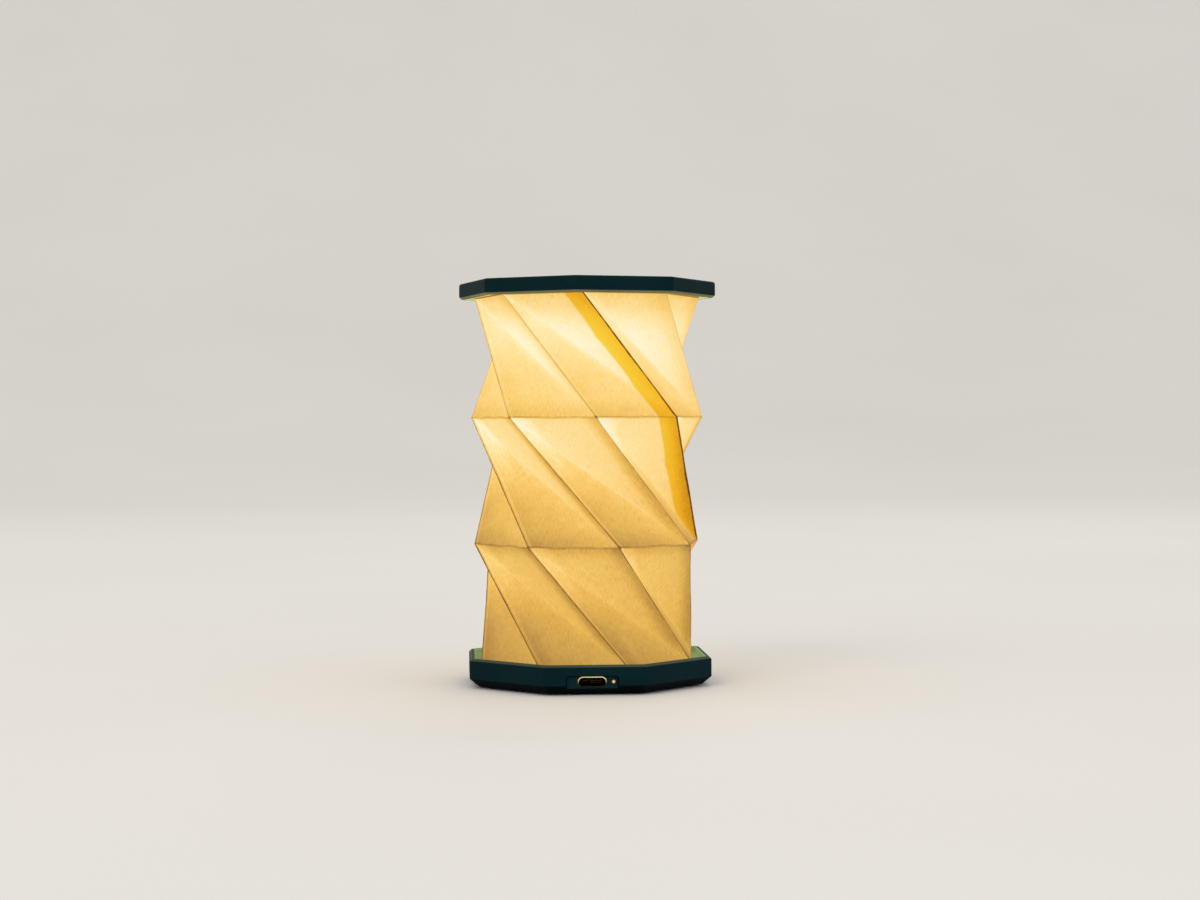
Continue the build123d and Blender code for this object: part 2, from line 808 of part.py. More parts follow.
def strip_block(corners_at):
    """Thin block between the paper's inner surface and a seam's thickness further in."""
    outer = corners_at(wall_inset)
    inner = corners_at(wall_inset + seam_inset)
    count = len(outer)
    walls = [(outer[i], outer[(i + 1) % count], inner[(i + 1) % count], inner[i]) for i in range(count)]
    triangles = []
    for a, b, c, d in walls:
        triangles.append((a, b, c))
        triangles.append((a, c, d))
    return solid_of([outer, inner] + triangles)


def seam_on_ridge(lower):
    """The overlap beside a ridge, from the fold line above down to the valley."""

    def corners(inset):
        foot = row_point(lower, seam_corner, inset)
        head = row_point(lower + 1, seam_corner, inset)
        head_before = row_point(lower + 1, seam_corner - 1, inset)
        across = (head_before - head).normalized() * seam_width
        share = 1 - seam_width / (head_before - head).length
        return [head, head + across, head + (foot - head) * share + across, foot]

    return strip_block(corners)


def seam_past_valley(lower):
    """The rest of the overlap, where it has crossed the valley above the fold line."""

    def corners(inset):
        foot = row_point(lower, seam_corner, inset)
        foot_before = row_point(lower, seam_corner - 1, inset)
        head_before = row_point(lower + 1, seam_corner - 1, inset)
        side = (head_before - row_point(lower + 1, seam_corner, inset)).length
        crossing = foot + (head_before - foot) * (seam_width / side)
        return [foot, crossing, foot + (foot_before - foot).normalized() * seam_width]

    return strip_block(corners)


with BuildPart() as seam_strip:
    for lower in range(len(tier_heights)):
        add(seam_on_ridge(lower))
        add(seam_past_valley(lower))
    with Locations((0, 0, lower_hem + paper_wall + glue_gap)):
        Box(
            4 * cap_apothem,
            4 * cap_apothem,
            upper_hem - lower_hem - paper_wall - 2 * glue_gap,
            align=(Align.CENTER, Align.CENTER, Align.MIN),
            mode=Mode.INTERSECT,
        )
save(seam_strip.part, "seam_strip")

ring_inset = wall_inset + ring_clear
with BuildPart() as lower_paper_ring:
    add(hem_ring(0, ring_inset, hem_width - ring_clear, lower_hem + paper_wall + glue_gap, ring_thickness))
save(lower_paper_ring.part, "lower_paper_ring")

with BuildPart() as upper_paper_ring:
    ring_bottom = upper_hem - glue_gap - ring_thickness
    add(hem_ring(last_row, ring_inset, hem_width - ring_clear, ring_bottom, ring_thickness))
save(upper_paper_ring.part, "upper_paper_ring")

print(f"lid top {lid_top:.2f}, folds by {lid_travel:.2f} and {fold_turn:.2f} degrees")
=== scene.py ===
"""Twist-fold paper table lamp: the folded paper, the finishes and the stage.

Everything is in metres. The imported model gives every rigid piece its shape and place. This
file folds the paper, works out how brightly it is lit from inside, gives each piece its
finish, and sets the lamp on a plain stage.
"""

import math

import bmesh
import bpy
from mathutils import Euler, Matrix, Vector
from mathutils.bvhtree import BVHTree


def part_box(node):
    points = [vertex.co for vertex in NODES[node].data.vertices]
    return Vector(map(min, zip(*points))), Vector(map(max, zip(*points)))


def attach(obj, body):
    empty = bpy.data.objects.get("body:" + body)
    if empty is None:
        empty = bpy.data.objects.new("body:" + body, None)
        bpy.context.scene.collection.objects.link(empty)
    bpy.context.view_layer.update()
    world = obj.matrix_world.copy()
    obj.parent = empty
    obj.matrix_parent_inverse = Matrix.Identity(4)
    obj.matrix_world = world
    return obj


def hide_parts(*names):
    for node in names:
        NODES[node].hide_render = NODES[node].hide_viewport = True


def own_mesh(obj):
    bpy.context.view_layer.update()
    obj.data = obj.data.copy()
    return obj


bl_info = {
    "name": "Twist-fold Paper Lamp",
    "version": (1, 0, 0),
    "blender": (4, 5, 0),
    "location": "View3D > Sidebar > Paper Lamp",
    "description": "Folds the lamp's paper, gives every piece its finish and lights the stage",
    "category": "Object",
}

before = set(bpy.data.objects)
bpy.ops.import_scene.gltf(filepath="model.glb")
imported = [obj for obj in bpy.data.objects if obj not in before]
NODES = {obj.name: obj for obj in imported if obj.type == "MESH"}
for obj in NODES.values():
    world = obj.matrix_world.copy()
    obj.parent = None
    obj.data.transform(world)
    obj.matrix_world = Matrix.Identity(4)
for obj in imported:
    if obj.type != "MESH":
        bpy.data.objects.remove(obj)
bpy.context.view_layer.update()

SIDES = 8
AXIS = (0, 0, 0)
PAPER_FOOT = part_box("paper_shade")[0].z
PAPER_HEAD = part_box("paper_shade")[1].z
TRAY_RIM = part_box("base_tray")[1].z
LID_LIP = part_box("lid_shell")[0].z
LIT_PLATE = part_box("lid_reflector")[0].z
# half the distance across the flats of the caps, outside and inside
CAP_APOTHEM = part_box("base_tray")[1].x
CAP_WALL = 0.00215
CAVITY_APOTHEM = CAP_APOTHEM - CAP_WALL
# how far the open lid stands turned against the base
LID_TURN = math.radians(14.43)
# the shallow recess round the charging socket
RECESS_DEPTH = 0.00095
RECESS_FLAT = RECESS_DEPTH - CAP_APOTHEM
RECESS_HALF_WIDTH = 0.0082
RECESS_TOP = 0.0062


# ---------------------------------------------------------------- sizes and colours


def length_prop(name, description, default):
    """A length that the user can change."""
    return bpy.props.FloatProperty(name=name, description=description, default=default, unit="LENGTH")


def angle_prop(name, description, default):
    """An angle that the user can change."""
    return bpy.props.FloatProperty(name=name, description=description, default=default, unit="ROTATION")


def number_prop(name, description, default, least=0.0, most=10.0):
    """A plain number that the user can change."""
    return bpy.props.FloatProperty(name=name, description=description, default=default, min=least, max=most)


def colour_prop(name, description, default):
    """A colour that the user can change."""
    return bpy.props.FloatVectorProperty(
        name=name, description=description, default=default, subtype="COLOR"
    )


class LampPaperSizes(bpy.types.PropertyGroup):
    """How the sheet is folded."""

    foot_height: length_prop("Paper's foot", "Height of the fold on the tray's floor", PAPER_FOOT)
    lower_fold_height: length_prop("Lower fold", "Height of the lower level fold", 0.0452)
    upper_fold_height: length_prop("Upper fold", "Height of the upper level fold", 0.0854)
    head_height: length_prop("Paper's head", "Height of the fold under the lid's plate", PAPER_HEAD)
    foot_radius: length_prop("Foot radius", "From the axis to the foot's corners", 0.0361)
    fold_radius: length_prop("Fold radius", "From the axis to the corners of the two level folds", 0.0373)
    head_radius: length_prop("Head radius", "From the axis to the head's corners", 0.0366)
    foot_angle: angle_prop("Foot angle", "Angle of the foot's corner at the overlap", math.radians(61.66))
    lower_twist: angle_prop("Lower twist", "Turn of the lower tier", math.radians(49.8))
    middle_twist: angle_prop("Middle twist", "Turn of the middle tier", math.radians(56.0))
    upper_twist: angle_prop("Upper twist", "Turn of the upper tier", math.radians(52.1))
    wall: length_prop("Paper wall", "Thickness of the paper", 0.0003)
    hem: length_prop("Hem", "Width of the hems that are turned in and glued", 0.0045)
    valley_sharpness: bpy.props.FloatVectorProperty(
        name="Valley sharpness",
        description="For each tier from the base up: 0 rolls the slanting valleys, 1 creases them",
        default=(0.62, 0.60, 0.50),
        size=3,
        min=0,
        max=1,
    )
    waviness: length_prop("Waviness", "How far the panels are from flat", 0.0003)
    seam_width: length_prop("Overlap", "Width of the glued overlap, along a level fold", 0.0067)


class LampInnerLight(bpy.types.PropertyGroup):
    """The light inside the paper, where 1 is full brightness."""

    plate: number_prop("Plate", "Brightness of the whole plate in the lid", 0.25)
    hot_spot: number_prop("Hot spot", "Extra brightness in the middle of the plate", 3.4)
    hot_spot_radius: length_prop("Hot spot radius", "Size of the bright middle", 0.011)
    bounce: number_prop("Bounce", "Share of the light that the paper throws back", 0.8, 0, 0.95)
    even_glow: number_prop("Even glow", "Light that the fibres spread through the whole sheet", 0.305)
    gain: number_prop("Gain", "How much the light that falls on the paper adds", 1.03)
    softness: number_prop("Softness", "Power that evens the light out; 1 changes nothing", 0.65, 0.2, 1)


class LampColours(bpy.types.PropertyGroup):
    """Colours of the lamp while it is lit."""

    paper: colour_prop("Paper", "The paper itself", (0.26, 0.165, 0.06))
    seam: colour_prop("Overlap", "What two layers of paper leave of the light of one", (0.93, 0.74, 0.09))
    plastic: colour_prop("Plastic", "Base tray and lid", (0.0039, 0.0174, 0.0209))
    cover: colour_prop("Bottom cover", "Cover under the base", (0.0008, 0.0022, 0.0028))
    tray_inside: colour_prop("Tray's inside", "Paper's light inside the tray's rim", (0.195, 0.27, 0.095))
    lid_inside: colour_prop("Lid's inside", "Paper's light inside the lid's rim", (0.60, 0.62, 0.24))
    tray_edge: colour_prop("Tray's edge", "Paper's light on the tray's sloping edge", (0.062, 0.066, 0.032))
    lid_edge: colour_prop("Lid's edge", "Paper's light on the lid's sloping edge", (0.17, 0.15, 0.058))
    floor: colour_prop("Floor", "Floor and backdrop", (0.80, 0.78, 0.75))


class LampStageSizes(bpy.types.PropertyGroup):
    """Camera and lamps."""

    lens: bpy.props.FloatProperty(
        name="Lens", description="Focal length, on a frame 36 mm wide", default=67.04, unit="CAMERA"
    )
    distance: length_prop("Distance", "From the camera to the lamp's axis", 0.7218)
    height: length_prop("Height", "Height of the camera", 0.0844)
    side_step: length_prop("Side step", "How far the camera stands to the right", 0.00413)
    heading: angle_prop("Heading", "Which way the camera looks, clockwise from +Y", math.radians(3.64))
    pitch: angle_prop("Pitch", "How far the camera looks down", 0.0132)
    roll: angle_prop("Roll", "How far the camera leans to its right", 0.0044)
    sky: number_prop("Sky", "Strength of the even light from all round", 0.85)


# ---------------------------------------------------------------- modelling helpers


def deselect_all():
    """Leaves nothing selected."""
    for thing in bpy.context.selected_objects:
        thing.select_set(False)


def take(piece):
    """Makes one object the only selected one and the active one."""
    deselect_all()
    piece.select_set(True)
    bpy.context.view_layer.objects.active = piece


def apply_modifier(piece, kind, **settings):
    """Adds a modifier with its settings and applies it."""
    take(piece)
    made = piece.modifiers.new(kind.lower(), kind)
    for key, value in settings.items():
        setattr(made, key, value)
    bpy.ops.object.modifier_apply(modifier=made.name)


def pick_edges(piece, is_wanted):
    """In edit mode, selects the edges that are wanted and nothing else."""
    bpy.ops.mesh.select_mode(type="EDGE")
    bpy.ops.mesh.select_all(action="DESELECT")
    work = bmesh.from_edit_mesh(piece.data)
    for edge in work.edges:
        if is_wanted(edge):
            edge.select_set(True)
    work.select_flush_mode()
    bmesh.update_edit_mesh(piece.data)


# ---------------------------------------------------------------- shader helpers

# the Mix node's sockets where it mixes colours
MIX_FACTOR, MIX_FIRST, MIX_SECOND, MIX_RESULT = 0, 6, 7, 2


def add_node(tree, kind, inputs=None, **settings):
    """A shader node with its settings, and with its inputs linked or set."""
    made = tree.nodes.new(kind)
    for key, value in settings.items():
        setattr(made, key, value)
    for socket, value in (inputs or {}).items():
        if isinstance(value, bpy.types.NodeSocket):
            tree.links.new(value, made.inputs[socket])
        else:
            made.inputs[socket].default_value = value
    return made


def maths(tree, operation, *values):
    """One Math node's result."""
    return add_node(tree, "ShaderNodeMath", dict(enumerate(values)), operation=operation).outputs[0]


def product(tree, *values):
    """All the values multiplied."""
    total = values[0]
    for value in values[1:]:
        total = maths(tree, "MULTIPLY", total, value)
    return total


def between(tree, value, start, end, low=0.0, high=1.0):
    """Eases from low at start to high at end, and stays there on both sides."""
    inputs = {"Value": value, "From Min": start, "From Max": end, "To Min": low, "To Max": high}
    return add_node(tree, "ShaderNodeMapRange", inputs, interpolation_type="SMOOTHSTEP").outputs["Result"]


def fading(tree, value, start, end):
    """Eases from 1 at start to 0 at end."""
    return between(tree, value, start, end, 1.0, 0.0)


def band(tree, value, start, full, fade, end):
    """Eases in from start to full, and out from fade to end."""
    return product(tree, between(tree, value, start, full), fading(tree, value, fade, end))


def ramp(tree, factor, *stops):
    """Colour ramp through (position, colour) stops."""
    made = add_node(tree, "ShaderNodeValToRGB", {"Fac": factor})
    elements = made.color_ramp.elements
    while len(elements) < len(stops):
        elements.new(0.5)
    for element, (position, colour) in zip(elements, stops):
        element.position = position
        element.color = (*colour, 1.0)
    return made.outputs["Color"]


def curve(tree, value, *stops):
    """A number that runs straight between (place, number) stops, each number from 0.5 to 1.5."""
    lowest = 0.5
    grey = ramp(tree, value, *((place, (number - lowest,) * 3) for place, number in stops))
    return maths(tree, "ADD", grey, lowest)


def mixed(tree, factor, first, second, blend_type="MIX"):
    """Mix of two colours, each a socket or three numbers."""
    made = add_node(tree, "ShaderNodeMix", data_type="RGBA", blend_type=blend_type)
    for socket, value in ((MIX_FACTOR, factor), (MIX_FIRST, first), (MIX_SECOND, second)):
        if isinstance(value, bpy.types.NodeSocket):
            tree.links.new(value, made.inputs[socket])
        elif socket == MIX_FACTOR:
            made.inputs[socket].default_value = value
        else:
            made.inputs[socket].default_value = (*value, 1.0)
    return made.outputs[MIX_RESULT]


def nodes_of(finish):
    """A finish's node tree and its shader."""
    return finish.node_tree, finish.node_tree.nodes["Principled BSDF"]


def new_finish(name, **shader_values):
    """A material with a Principled shader straight to its output; its tree and its shader."""
    finish = bpy.data.materials.new(name)
    finish.use_nodes = True
    tree, shader = nodes_of(finish)
    for socket, value in shader_values.items():
        shader.inputs[socket.replace("_", " ")].default_value = value
    return finish, tree, shader


def give(piece, finish):
    """Makes a finish the only one on a piece."""
    piece.data.materials.clear()
    piece.data.materials.append(finish)


def place_of(tree):
    return add_node(tree, "ShaderNodeTexCoord").outputs["Object"]


def split(tree, vector, axes="XYZ"):
    """A vector's numbers along the axes that are named."""
    made = add_node(tree, "ShaderNodeSeparateXYZ", {"Vector": vector})
    return [made.outputs[axis] for axis in axes]


def height_of(tree, vector):
    return split(tree, vector, "Z")[0]


def turned(tree, vector, angle):
    """The vector, turned about the lamp's axis."""
    inputs = {"Vector": vector, "Rotation": (0, 0, angle)}
    return add_node(tree, "ShaderNodeMapping", inputs).outputs["Vector"]


def noise(tree, vector, scale, detail=2.0, roughness=0.5):
    """Noise from 0 to 1, with a scale in features per metre."""
    inputs = {"Vector": vector, "Scale": scale, "Detail": detail, "Roughness": roughness}
    return add_node(tree, "ShaderNodeTexNoise", inputs).outputs["Fac"]


def stretched_noise(tree, vector, scales, detail=2.0):
    """Noise with a scale of its own along each axis, in features per metre."""
    mapping = add_node(tree, "ShaderNodeMapping", {"Vector": vector, "Scale": scales})
    return noise(tree, mapping.outputs["Vector"], 1.0, detail)


def feed(shader, socket, value):
    """Links a value to one of the shader's inputs."""
    shader.id_data.links.new(value, shader.inputs[socket])


def shade(shader, factor, colour, spread, socket="Base Color"):
    """Links a colour that is darker and lighter by spread as factor goes from low to high."""
    dark, light = (tuple(min(1.0, c * (1 + side * spread)) for c in colour) for side in (-1, 1))
    feed(shader, socket, ramp(shader.id_data, factor, (0.3, dark), (0.7, light)))


def bump(shader, height, depth, strength):
    """Links a bump of that depth in metres."""
    inputs = {"Height": height, "Distance": depth, "Strength": strength}
    feed(shader, "Normal", add_node(shader.id_data, "ShaderNodeBump", inputs).outputs["Normal"])


def octagon_distance(tree, vector):
    """How far out a place is, measured square to the nearest of an octagon's flats."""
    x, y = (maths(tree, "ABSOLUTE", part) for part in split(tree, vector, "XY"))
    slanting = maths(tree, "MULTIPLY", maths(tree, "ADD", x, y), math.sqrt(0.5))
    return maths(tree, "MAXIMUM", maths(tree, "MAXIMUM", x, y), slanting)


# ---------------------------------------------------------------- finishes


def moulded_plastic(name, colour, roughness=0.5, grain=7000, specular=0.05):
    """Moulded plastic with a fine spark-eroded grain."""
    finish, tree, shader = new_finish(
        name, Specular_IOR_Level=specular, Specular_Tint=(0.35, 0.85, 1.0, 1.0)
    )
    place = place_of(tree)
    shade(shader, noise(tree, place, 90, 3), colour, 0.12)
    fine = noise(tree, place, grain, 2)
    gloss = between(tree, fine, 0.3, 0.7, roughness - 0.05, roughness + 0.06)
    feed(shader, "Roughness", gloss)
    bump(shader, fine, depth=0.00003, strength=0.4)
    return finish


def shade_recess(finish, flat_colour):
    """The flat of the shallow recess round the socket, with painted shade along its top and its sides."""
    tree, shader = nodes_of(finish)
    around = shader.inputs["Base Color"].links[0].from_socket
    low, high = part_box("usb_c_shell")
    place = place_of(tree)
    x, y, z = split(tree, place)
    side = maths(tree, "ABSOLUTE", maths(tree, "SUBTRACT", x, (low.x + high.x) / 2))
    margin = 0.0006
    on_flat = 0.00003
    within = product(
        tree,
        maths(tree, "LESS_THAN", side, RECESS_HALF_WIDTH + margin),
        maths(tree, "LESS_THAN", z, RECESS_TOP + margin),
        maths(tree, "COMPARE", y, RECESS_FLAT, on_flat),
    )
    side_shadow = 0.0007
    top_shadow = 0.0008
    near_side = between(tree, side, RECESS_HALF_WIDTH - side_shadow, RECESS_HALF_WIDTH)
    near_top = between(tree, z, RECESS_TOP - top_shadow, RECESS_TOP)
    darker = tuple(part * 0.85 for part in flat_colour)
    mottled = mixed(tree, noise(tree, place, 500, 2), darker, flat_colour)
    shadow = (0.0003, 0.0008, 0.001)
    flat = mixed(tree, maths(tree, "MAXIMUM", near_side, near_top), mottled, shadow)
    feed(shader, "Base Color", mixed(tree, within, around, flat))


def lit_rim_plastic(name, colour, inside, edge, turn, lit_from, lit_to):
    """Plastic of the tray or the lid. Between the heights lit_from and lit_to the light of the paper
    falls on its inner wall, and less on the flat and the sloping edge outside that wall."""
    finish = moulded_plastic(name, colour, specular=0.02)
    tree, shader = nodes_of(finish)
    place = place_of(tree)
    height = height_of(tree, place)
    # painted light: the paper's light on this plastic is painted as emission, with a painted highlight
    # along the rim's inner corner
    inner_corner = tuple(min(1.0, part * 1.6) for part in inside)
    flat = tuple(part * 0.6 for part in edge)
    # the light at each distance from the axis, square to the nearest side
    stops = (
        (CAVITY_APOTHEM + 0.0001, inside),
        (CAVITY_APOTHEM + 0.0002, inner_corner),
        (CAVITY_APOTHEM + 0.0006, flat),
        (CAP_APOTHEM - 0.0009, flat),
        (CAP_APOTHEM - 0.0007, edge),
        (CAP_APOTHEM - 0.0003, edge),
        (CAP_APOTHEM - 0.0001, (0, 0, 0)),
    )
    start = CAVITY_APOTHEM - 0.001
    span = CAP_APOTHEM - start
    out = octagon_distance(tree, turned(tree, place, turn))
    across_wall = maths(tree, "MULTIPLY_ADD", out, 1 / span, -start / span)
    fall = ramp(tree, across_wall, *(((reach - start) / span, light) for reach, light in stops))
    at_height = product(
        tree, maths(tree, "GREATER_THAN", height, lit_from), maths(tree, "LESS_THAN", height, lit_to)
    )
    uneven = between(tree, noise(tree, place, 45, 2), 0.2, 0.8, 0.72, 1.0)
    glow = mixed(tree, product(tree, at_height, uneven), (0, 0, 0), fall)
    feed(shader, "Emission Color", glow)
    shader.inputs["Emission Strength"].default_value = 1.0
    return finish


def metal(name, colour, roughness=0.3, streaks=(400, 400, 9000)):
    """Bare or plated metal with fine drawn streaks."""
    finish, tree, shader = new_finish(name, Metallic=1.0)
    place = place_of(tree)
    shade(shader, noise(tree, place, 500, 3), colour, 0.08)
    drawn = stretched_noise(tree, place, streaks)
    gloss = between(tree, drawn, 0.25, 0.75, roughness * 0.7, roughness * 1.35)
    feed(shader, "Roughness", gloss)
    bump(shader, drawn, depth=0.000008, strength=0.4)
    return finish


def socket_steel(name):
    """Polished steel of the charging socket, with a warm painted highlight on its upper rim, and painted
    shade on its lower rim and inside.
    """
    finish = metal(name, (1.0, 0.80, 0.42), 0.22, (6000, 500, 500))
    tree, shader = nodes_of(finish)
    highlit_steel = shader.inputs["Base Color"].links[0].from_socket
    low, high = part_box("usb_c_shell")
    y, z = split(tree, place_of(tree), "YZ")
    # painted shade deeper in the socket and along its lower rim; the upper rim keeps the warm painted
    # highlight
    inside = between(tree, y, low.y + 0.0002, low.y + 0.0006)
    upper = between(tree, z, low.z + 0.0008, high.z - 0.0005)
    rim = mixed(tree, upper, (0.03, 0.02, 0.01), highlit_steel)
    feed(shader, "Base Color", mixed(tree, inside, rim, (0.02, 0.016, 0.012)))
    return finish


def indicator_light(name):
    """Amber light pipe, bright in its middle."""
    finish, tree, shader = new_finish(name, Roughness=0.3, Emission_Strength=1.0)
    place = place_of(tree)
    low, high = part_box("charge_indicator")
    x, z = split(tree, place, "XZ")
    aside = maths(tree, "SUBTRACT", x, (low.x + high.x) / 2)
    above = maths(tree, "SUBTRACT", z, (low.z + high.z) / 2)
    squares = maths(tree, "ADD", product(tree, aside, aside), product(tree, above, above))
    core = fading(tree, maths(tree, "SQRT", squares), 0.0002, 0.0005)
    shade(shader, noise(tree, place, 1500), (0.35, 0.2, 0.05), 0.06)
    glow = mixed(tree, core, (0.05, 0.03, 0.004), (0.70, 0.50, 0.14))
    feed(shader, "Emission Color", glow)
    return finish


def rubber(name, colour=(0.012, 0.012, 0.013)):
    """Matt black rubber or foam."""
    finish, tree, shader = new_finish(name, Roughness=0.85, Specular_IOR_Level=0.2)
    place = place_of(tree)
    shade(shader, noise(tree, place, 300, 4, 0.7), colour, 0.3)
    bump(shader, noise(tree, place, 3500, 3), depth=0.00005, strength=0.5)
    return finish


def card(name, colour=(0.78, 0.74, 0.62)):
    """White card with flecks and fibres."""
    finish, tree, shader = new_finish(name, Roughness=0.9, Specular_IOR_Level=0.15)
    place = place_of(tree)
    flecks = stretched_noise(tree, place, (900, 2600, 900), 4)
    shade(shader, flecks, colour, 0.08)
    bump(shader, noise(tree, place, 2400, 4), depth=0.00004, strength=0.5)
    return finish


def circuit_board(name):
    """Green solder resist over copper tracks and a ground plane."""
    finish, tree, shader = new_finish(name, Roughness=0.35, Coat_Weight=0.3)
    place = place_of(tree)
    inputs = {"Vector": place, "Scale": 420, "Randomness": 0.75}
    cells = add_node(tree, "ShaderNodeTexVoronoi", inputs, feature="DISTANCE_TO_EDGE")
    track = fading(tree, cells.outputs["Distance"], 0.06, 0.09)
    resist = mixed(tree, track, (0.012, 0.085, 0.032), (0.025, 0.17, 0.06))
    flecks = between(tree, noise(tree, place, 2500, 2), 0.62, 0.7, 0, 0.5)
    flecked = mixed(tree, flecks, resist, (0.05, 0.2, 0.1))
    feed(shader, "Base Color", flecked)
    bump(shader, track, depth=0.00003, strength=0.8)
    return finish


def pouch_foil(name):
    """Aluminium laminate of the cell, softly wrinkled."""
    finish, tree, shader = new_finish(name, Metallic=0.85)
    place = place_of(tree)
    shade(shader, noise(tree, place, 120, 3), (0.56, 0.57, 0.59), 0.07)
    wrinkles = stretched_noise(tree, place, (160, 420, 200), 4)
    feed(shader, "Roughness", between(tree, wrinkles, 0.3, 0.7, 0.28, 0.42))
    bump(shader, wrinkles, depth=0.00025, strength=0.6)
    return finish


def glowing(name, colour, glow, strength, roughness=0.4, grain=1500):
    """A lit surface, a little uneven."""
    finish, tree, shader = new_finish(name, Roughness=roughness, Emission_Strength=strength)
    uneven = noise(tree, place_of(tree), grain, 2)
    shade(shader, uneven, colour, 0.06)
    shade(shader, uneven, glow, 0.10, "Emission Color")
    bump(shader, uneven, depth=0.00002, strength=0.3)
    return finish


def clear_acrylic(name):
    """Clear moulded lens with faint flow marks."""
    finish, tree, shader = new_finish(name, Transmission_Weight=0.9, IOR=1.49)
    place = place_of(tree)
    shade(shader, noise(tree, place, 300, 2), (0.93, 0.95, 0.94), 0.03)
    flow = stretched_noise(tree, place, (200, 200, 900))
    feed(shader, "Roughness", between(tree, flow, 0.3, 0.7, 0.05, 0.12))
    bump(shader, flow, depth=0.00002, strength=0.3)
    return finish


def battery_lead_sleeves(name):
    """Silicone sleeves of the cell's two leads, one black and one red."""
    finish, tree, shader = new_finish(name, Roughness=0.45)
    place = place_of(tree)
    x, y = split(tree, place, "XY")
    lead_pitch = 0.0013
    lead_radius = 0.0005
    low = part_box("battery_leads")[0]
    to_middle = lead_radius + lead_pitch / 2
    inner = maths(
        tree,
        "MINIMUM",
        maths(tree, "SUBTRACT", x, low.x + to_middle),
        maths(tree, "SUBTRACT", y, low.y + to_middle),
    )
    is_red = maths(tree, "GREATER_THAN", inner, 0.0)
    plain = mixed(tree, is_red, (0.015, 0.015, 0.016), (0.42, 0.02, 0.015))
    cloud = noise(tree, place, 700, 3)
    dusty = mixed(tree, between(tree, cloud, 0.3, 0.7, 0.0, 0.2), plain, (0.2, 0.2, 0.2))
    feed(shader, "Base Color", dusty)
    bump(shader, cloud, depth=0.00002, strength=0.4)
    return finish


def at_fold(tree, up, fold, below, above):
    """One number below a level fold and another above it."""
    return between(tree, up, fold - 0.02, fold + 0.02, below, above)


def lit_folds(tree, along, up):
    """How the folds lighten and darken the glow. Along counts the panels and up counts the tiers."""
    across = maths(tree, "FRACT", along)
    rise = maths(tree, "FRACT", up)
    # the valley, where the paper comes nearest to the light, runs where across + rise is 1
    before_valley = (0.0, 0.87), (0.2, 0.96), (0.35, 1.07), (0.45, 1.16), (0.497, 1.20)
    past_valley = (0.508, 1.08), (0.56, 1.02), (0.72, 0.99), (1.0, 0.94)
    half_sum = maths(tree, "MULTIPLY", maths(tree, "ADD", across, rise), 0.5)
    valley = curve(tree, half_sum, *before_valley, *past_valley)
    beside_ridge = band(tree, across, 0.02, 0.06, 0.14, 0.28)
    right_of_ridge = product(tree, beside_ridge, between(tree, rise, 0.3, 0.75))
    thin_rim = band(tree, across, 0.022, 0.032, 0.040, 0.065)
    left_of_ridge = product(tree, between(tree, across, 0.80, 0.985), between(tree, rise, 0.02, 0.26))
    gain = maths(tree, "SUBTRACT", valley, 1.0)
    for place, strength in ((right_of_ridge, 0.15), (thin_rim, 0.18), (left_of_ridge, -0.22)):
        gain = maths(tree, "MULTIPLY_ADD", place, strength, gain)
    # the top tier is so bright that its folds show less
    gain = maths(tree, "MULTIPLY", gain, at_fold(tree, up, 2, 1.0, 0.35))

    # the paper leans outwards above a level fold, so it gets less light there than below it
    over_fold = product(
        tree,
        fading(tree, rise, 0.0, 0.16),
        between(tree, up, 0.98, 1.0),
        between(tree, up, 1.9, 2.0, 0.19, 0.14),
    )
    under_fold = product(
        tree,
        between(tree, rise, 0.90, 1.0),
        between(tree, up, 0.99, 1.0, 0.16, 0.03),
        fading(tree, up, 2.0, 2.1),
    )
    low_corner = product(
        tree, fading(tree, across, 0.0, 0.3), fading(tree, rise, 0.2, 0.8), at_fold(tree, up, 1, 0.17, 0.05)
    )
    for loss in (over_fold, under_fold, low_corner):
        gain = maths(tree, "SUBTRACT", gain, loss)
    under_lid = between(tree, up, 2.86, 2.96)
    gain = maths(tree, "MULTIPLY_ADD", under_lid, 0.13, gain)
    return maths(tree, "ADD", gain, 1.0)


